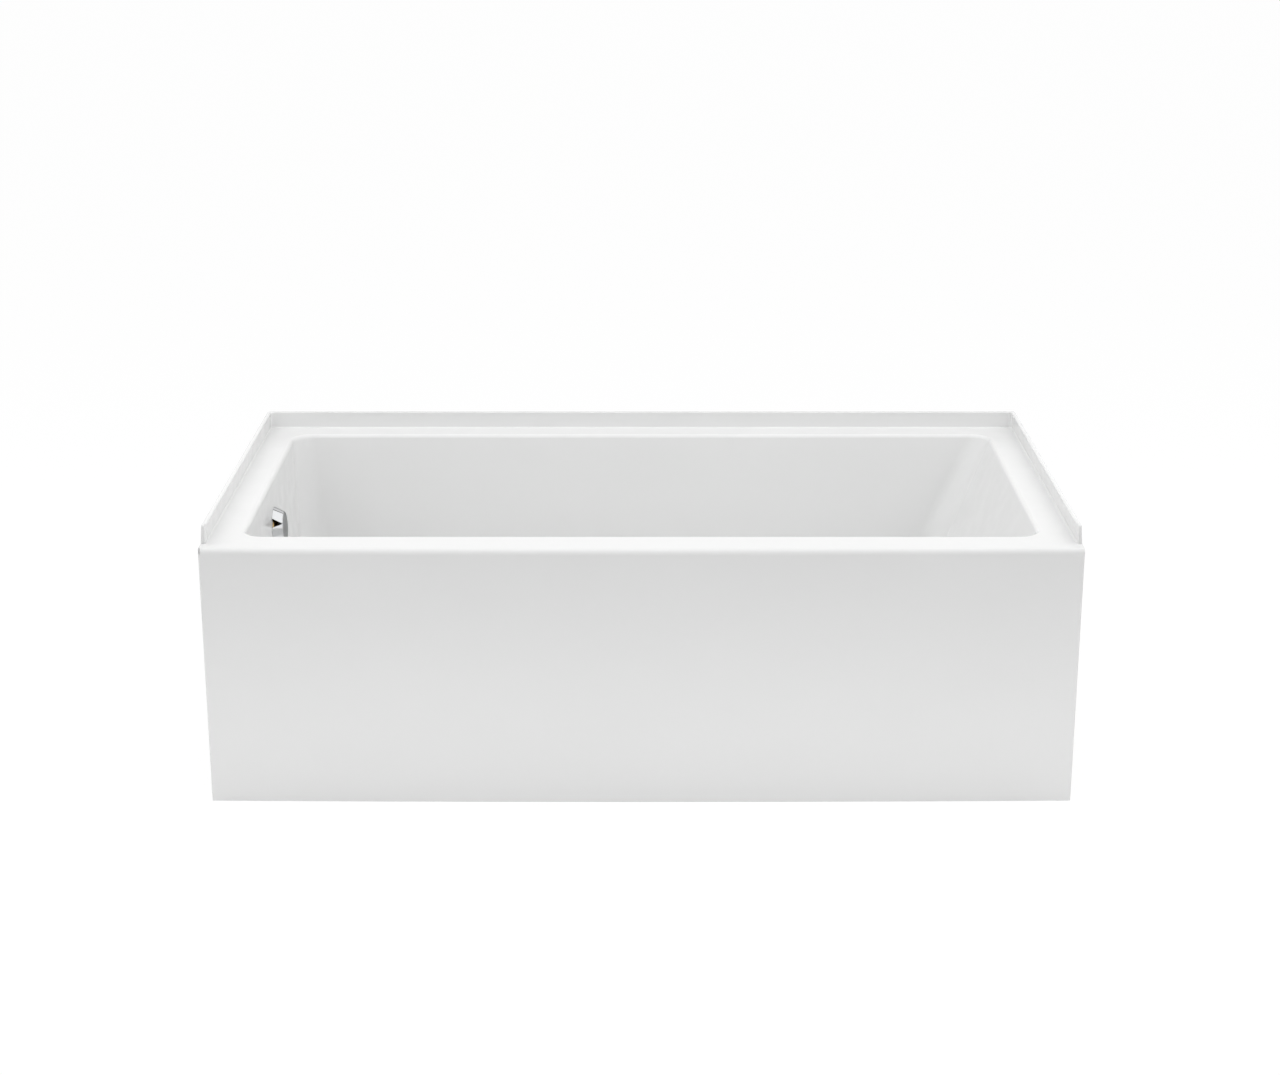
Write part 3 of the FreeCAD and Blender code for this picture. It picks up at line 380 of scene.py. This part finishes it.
def moulded(name, dark, light, smooth, dull, texture, deep):
    """Moulded plastic or rubber: two close tones, uneven gloss and a fine texture."""
    finish = Finish(name)
    finish.soften(0.0006)
    flow = finish.noise(0.025, detail=3.0)
    finish.colour(finish.ramp(flow, (0.3, dark), (0.7, light)))
    finish.rough(finish.spread(finish.noise(0.006, detail=4.0), smooth, dull, 0.3, 0.7))
    finish.bump(flow, 0.0003)
    finish.bump(finish.noise(texture, detail=2.0), deep)
    return finish.material


def foam_rubber():
    finish = Finish("foam_rubber")
    pores = finish.cells(0.0011)
    finish.colour(finish.ramp(pores, (0.2, (0.035, 0.035, 0.037)), (0.7, (0.09, 0.09, 0.093))))
    finish.rough(finish.spread(pores, 0.95, 0.8))
    finish.bump(pores, 0.0005)
    return finish.material


FINISHES = {
    "white_acrylic": white_acrylic(),
    "fibreglass": fibreglass(),
    "bonding_resin": bonding_resin(),
    "strand_board": strand_board(),
    "plywood": plywood("plywood_upright", across=1, along=2),
    "timber": timber(),
    "galvanised_steel": galvanised_steel(),
    "zinc_plated_steel": zinc_plated_steel(),
    "chrome": chrome(),
    "brass": brass(),
    "spring_steel": spring_steel(),
    "black_rubber": moulded("black_rubber", (0.018,) * 3, (0.03,) * 3, 0.5, 0.7, 0.0009, 0.00004),
    "foam_rubber": foam_rubber(),
    "washer_plastic": moulded("washer_plastic", (0.72, 0.71, 0.66), (0.80, 0.79, 0.75),
                              0.3, 0.45, 0.002, 0.00002),
    "waste_plastic": moulded("waste_plastic", (0.70, 0.695, 0.67), (0.77, 0.765, 0.74),
                             0.24, 0.4, 0.0015, 0.00003),
    "nut_plastic": moulded("nut_plastic", (0.33, 0.34, 0.35), (0.40, 0.41, 0.42),
                           0.35, 0.5, 0.001, 0.00004),
    "foot_plastic": moulded("foot_plastic", (0.022,) * 3, (0.035,) * 3, 0.38, 0.55, 0.0008, 0.00006),
}
FLAT_PLYWOOD = plywood("plywood_flat", across=2, along=0)


def dress(piece, finish):
    piece.data.materials.clear()
    piece.data.materials.append(finish)


def dress_frame():
    for part in frame["record"]["subparts"]:
        dress(frame["nodes"][part["node"]], FINISHES[part["material_slot"]])
    dress(frame["nodes"]["front_rim_board"], FLAT_PLYWOOD)


# ---- pieces -----------------------------------------------------------------------
def made_mesh(name, mesh):
    """Finished mesh data from mesh code."""
    data = bpy.data.meshes.new(name)
    mesh.to_mesh(data)
    mesh.free()
    return data


def add_piece(name, data, slot, body):
    piece = bpy.data.objects.new(name, data)
    bpy.context.scene.collection.objects.link(piece)
    dress(piece, FINISHES[slot])
    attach(piece, body)
    return piece


def apron_roll():
    """The rolled edge between deck and apron, finer than the frame's own facets."""
    low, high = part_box("tub_shell")
    end = high[0] - APRON_CORNER
    bow_radius = (high[0] ** 2 + APRON_BOW ** 2) / (2 * APRON_BOW)
    mesh = bmesh.new()
    rows = []
    for i in range(ROLL_STATIONS):
        x = end * (2 * i / (ROLL_STATIONS - 1) - 1)
        outward = Vector((x / bow_radius, -math.sqrt(1 - (x / bow_radius) ** 2), 0))
        front = Vector((0, low[1] + bow_radius, DECK_Z - APRON_TOP_R)) + outward * bow_radius
        centre = front - outward * APRON_TOP_R
        row = []
        for j in range(ROLL_STEPS + 1):
            turn = math.pi / 2 * j / ROLL_STEPS
            across = outward * math.cos(turn) + Vector((0, 0, math.sin(turn)))
            row.append(mesh.verts.new(centre + across * APRON_TOP_R))
        row[-1].co.z += ROLL_LIFT
        row.append(mesh.verts.new(row[-1].co - outward * ROLL_OVERLAP))
        rows.append(row)
    for row, following in zip(rows, rows[1:]):
        for j in range(ROLL_STEPS + 1):
            face = mesh.faces.new((row[j], following[j], following[j + 1], row[j + 1]))
            face.smooth = True
    add_piece("apron_roll", made_mesh("apron_roll", mesh), "white_acrylic", "tub")


def smooth_outline(points, steps):
    """Curve through the points that leaves the first one level."""
    second = points[1]
    last, before = points[-1], points[-2]
    padded = [(-second[0], second[1]), *points, (2 * last[0] - before[0], 2 * last[1] - before[1])]
    curve = []
    for before, start, end, after in zip(padded, padded[1:], padded[2:], padded[3:]):
        for i in range(steps):
            t = i / steps
            shares = (-t + 2 * t ** 2 - t ** 3, 2 - 5 * t ** 2 + 3 * t ** 3,
                      t + 4 * t ** 2 - 3 * t ** 3, t ** 3 - t ** 2)
            pairs = list(zip(shares, (before, start, end, after)))
            curve.append([sum(share * point[k] for share, point in pairs) / 2 for k in (0, 1)])
    return curve + [list(last)]


def stopper_crown():
    """Polished dome of the stopper, finer than the frame's own facets."""
    low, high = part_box("stopper_cap")
    middle = Vector(((low[0] + high[0]) / 2, (low[1] + high[1]) / 2, high[2] + CROWN_LIFT))
    outline = smooth_outline(STOPPER_CROWN, CROWN_STEPS)
    mesh = bmesh.new()
    top = mesh.verts.new(middle)
    rings = []
    for radius, depth in outline[1:]:
        ring = []
        for i in range(CROWN_SECTORS):
            turn = 2 * math.pi * i / CROWN_SECTORS
            at = (radius * math.cos(turn), radius * math.sin(turn), -depth)
            ring.append(mesh.verts.new(middle + Vector(at)))
        rings.append(ring)
    for i in range(CROWN_SECTORS):
        following = (i + 1) % CROWN_SECTORS
        mesh.faces.new((top, rings[0][i], rings[0][following]))
        for ring, wider in zip(rings, rings[1:]):
            mesh.faces.new((ring[i], wider[i], wider[following], ring[following]))
    for face in mesh.faces:
        face.smooth = True
    add_piece("stopper_crown", made_mesh("stopper_crown", mesh), "chrome", "stopper")


def threaded_stem(mesh, axis, foot, top):
    """Helical rows of crest and root points, pressed flat at foot and top."""
    rows = []
    count = THREAD_ROWS * int((top - foot) / THREAD_PITCH) + THREAD_EXTRA
    for j in range(count):
        radius = LEG_R if j % THREAD_ROWS else LEG_ROOT_R
        row = []
        for i in range(THREAD_SECTORS):
            turn = 2 * math.pi * i / THREAD_SECTORS
            z = foot + ((j - THREAD_LEAD) / THREAD_ROWS + i / THREAD_SECTORS) * THREAD_PITCH
            inside = foot < z < top
            reach = radius if inside else LEG_ROOT_R
            at = (reach * math.cos(turn), reach * math.sin(turn), min(max(z, foot), top))
            row.append(mesh.verts.new(axis + Vector(at)))
        rows.append(row)
    for j, (row, following) in enumerate(zip(rows, rows[1:])):
        for i in range(THREAD_SECTORS - 1):
            mesh.faces.new((row[i], row[i + 1], following[i + 1], following[i]))
        next_turn = rows[j + THREAD_ROWS:][:2]
        if len(next_turn) == 2:
            mesh.faces.new((row[-1], next_turn[0][0], next_turn[1][0], following[-1]))
    cap = []
    for i in range(THREAD_SECTORS):
        turn = 2 * math.pi * i / THREAD_SECTORS
        at = (LEG_ROOT_R * math.cos(turn), LEG_ROOT_R * math.sin(turn), top)
        cap.append(mesh.verts.new(axis + Vector(at)))
    mesh.faces.new(cap)


def plain_prism(mesh, axis, radius, sides, foot, top):
    """Closed prism; returns its edges."""
    ends = []
    for z in (foot, top):
        turns = [2 * math.pi * i / sides for i in range(sides)]
        corners = [Vector((math.cos(turn), math.sin(turn), 0)) * radius for turn in turns]
        ends.append([mesh.verts.new(axis + corner + Vector((0, 0, z))) for corner in corners])
    faces = [mesh.faces.new(ends[0][::-1]), mesh.faces.new(ends[1])]
    for i in range(sides):
        following = (i + 1) % sides
        faces.append(mesh.faces.new((ends[0][i], ends[0][following], ends[1][following], ends[1][i])))
    return list({edge for face in faces for edge in face.edges})


def threaded_leg(place):
    """Levelling leg: its thread, the spanner hexagon under it and the plain foot."""
    low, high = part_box("foot_rod_" + place)
    axis = Vector(((low[0] + high[0]) / 2, (low[1] + high[1]) / 2, 0))
    hex_foot, hex_top = LEG_HEX_Z
    mesh = bmesh.new()
    threaded_stem(mesh, axis, hex_top, high[2])
    plain_prism(mesh, axis, LEG_R, THREAD_SECTORS, low[2], hex_foot)
    corner = LEG_HEX_FLATS / math.sqrt(3)
    edges = plain_prism(mesh, axis, corner, HEX_SIDES, hex_foot, hex_top)
    bmesh.ops.bevel(mesh, geom=edges, offset=LEG_HEX_BEVEL, segments=LEG_HEX_STEPS, profile=0.5,
                    affect="EDGES")
    piece = add_piece("threaded_leg_" + place, made_mesh("threaded_leg_" + place, mesh),
                      "zinc_plated_steel", "foot_" + place)
    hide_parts("foot_rod_" + place)


def stopper_coil():
    """The stopper's spring: a copy of the frame's own, which goes down whole with the cap."""
    spring = frame["nodes"]["stopper_spring"].data.copy()
    coil = add_piece("stopper_coil", spring, "spring_steel", "stopper")
    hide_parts("stopper_spring")
    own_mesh(coil)


# ---- stage ------------------------------------------------------------------------
def make_camera():
    data = bpy.data.cameras.new("camera")
    data.lens = LENS
    camera = bpy.data.objects.new("camera", data)
    camera.location = CAMERA_PLACE
    camera.rotation_euler = (CAMERA_TILT, 0, 0)
    bpy.context.scene.collection.objects.link(camera)
    bpy.context.scene.camera = camera


def ray_share(tree, *rays):
    """1 for these kinds of ray and 0 for all others."""
    path = tree.nodes.new("ShaderNodeLightPath")
    total = path.outputs[rays[0]]
    for ray in rays[1:]:
        either = tree.nodes.new("ShaderNodeMath")
        either.operation = "MAXIMUM"
        tree.links.new(total, either.inputs[0])
        tree.links.new(path.outputs[ray], either.inputs[1])
        total = either.outputs[0]
    return total


def mirror_sky(tree):
    """Brightness of the studio in a mirror, by the height of the direction."""
    direction = tree.nodes.new("ShaderNodeTexCoord").outputs["Generated"]
    height = tree.nodes.new("ShaderNodeSeparateXYZ")
    tree.links.new(direction, height.inputs[0])
    ramp = tree.nodes.new("ShaderNodeValToRGB")
    tree.links.new(height.outputs["Z"], ramp.inputs["Fac"])
    brightest = max(level for _, level in MIRROR_SKY)
    steps = ramp.color_ramp.elements
    for i, (place, level) in enumerate(MIRROR_SKY):
        step = steps[i] if i < 2 else steps.new(place)
        step.position = place
        step.color = (level / brightest, level / brightest, level / brightest, 1)
    shade = tree.nodes.new("ShaderNodeBackground")
    shade.inputs["Strength"].default_value = brightest
    tree.links.new(ramp.outputs["Color"], shade.inputs["Color"])
    return shade.outputs[0]


def mixed(tree, share, first, second):
    either = tree.nodes.new("ShaderNodeMixShader")
    tree.links.new(share, either.inputs[0])
    tree.links.new(first, either.inputs[1])
    tree.links.new(second, either.inputs[2])
    return either.outputs[0]


def make_sky():
    """Even light on the object, pure white behind it, and a shaded studio in mirrors."""
    world = bpy.data.worlds.new("studio")
    world.use_nodes = True
    tree = world.node_tree
    light = tree.nodes["Background"]
    light.inputs["Color"].default_value = (1, 1, 1, 1)
    light.inputs["Strength"].default_value = SKY_LEVEL
    white = tree.nodes.new("ShaderNodeBackground")
    white.inputs["Color"].default_value = (1, 1, 1, 1)
    lit = mixed(tree, ray_share(tree, "Is Glossy Ray"), light.outputs[0], mirror_sky(tree))
    seen = mixed(tree, ray_share(tree, "Is Camera Ray", "Is Transmission Ray"), lit, white.outputs[0])
    tree.links.new(seen, tree.nodes["World Output"].inputs["Surface"])
    bpy.context.scene.world = world


def soft_light(name, place, aim, size, level):
    """Rectangular light, as bright as a white card at level 1, left out of reflections."""
    data = bpy.data.lights.new(name, "AREA")
    data.shape = "RECTANGLE"
    data.size, data.size_y = size
    data.energy = level * math.pi * size[0] * size[1]
    light = bpy.data.objects.new(name, data)
    light.location = place
    light.visible_glossy = False
    light.rotation_euler = (Vector(aim) - Vector(place)).to_track_quat("-Z", "Y").to_euler()
    bpy.context.scene.collection.objects.link(light)


def make_floor():
    finish = bpy.data.materials.new("floor")
    finish.use_nodes = True
    tree = finish.node_tree
    tree.nodes.remove(tree.nodes["Principled BSDF"])
    matt = tree.nodes.new("ShaderNodeBsdfDiffuse")
    matt.inputs["Color"].default_value = (FLOOR_GREY, FLOOR_GREY, FLOOR_GREY, 1)
    white = tree.nodes.new("ShaderNodeEmission")
    white.inputs["Strength"].default_value = FLOOR_WHITE
    share = tree.nodes.new("ShaderNodeMath")
    share.operation = "MULTIPLY"
    share.inputs[1].default_value = FLOOR_SHARE
    rays = ray_share(tree, "Is Camera Ray", "Is Glossy Ray", "Is Transmission Ray")
    tree.links.new(rays, share.inputs[0])
    shown = mixed(tree, share.outputs[0], matt.outputs[0], white.outputs[0])
    tree.links.new(shown, tree.nodes["Material Output"].inputs["Surface"])

    half = FLOOR_SIZE / 2
    mesh = bpy.data.meshes.new("floor")
    corners = [(-half, -half, 0), (half, -half, 0), (half, half, 0), (-half, half, 0)]
    mesh.from_pydata(corners, [], [(0, 1, 2, 3)])
    floor = bpy.data.objects.new("floor", mesh)
    bpy.context.scene.collection.objects.link(floor)
    dress(floor, finish)


make_camera()
make_sky()
for name, settings in SOFT_LIGHTS.items():
    soft_light(name, *settings)
make_floor()
dress_frame()
apron_roll()
stopper_crown()
stopper_coil()
for foot in FEET:
    threaded_leg(foot)

bpy.context.scene.view_settings.view_transform = "Standard"
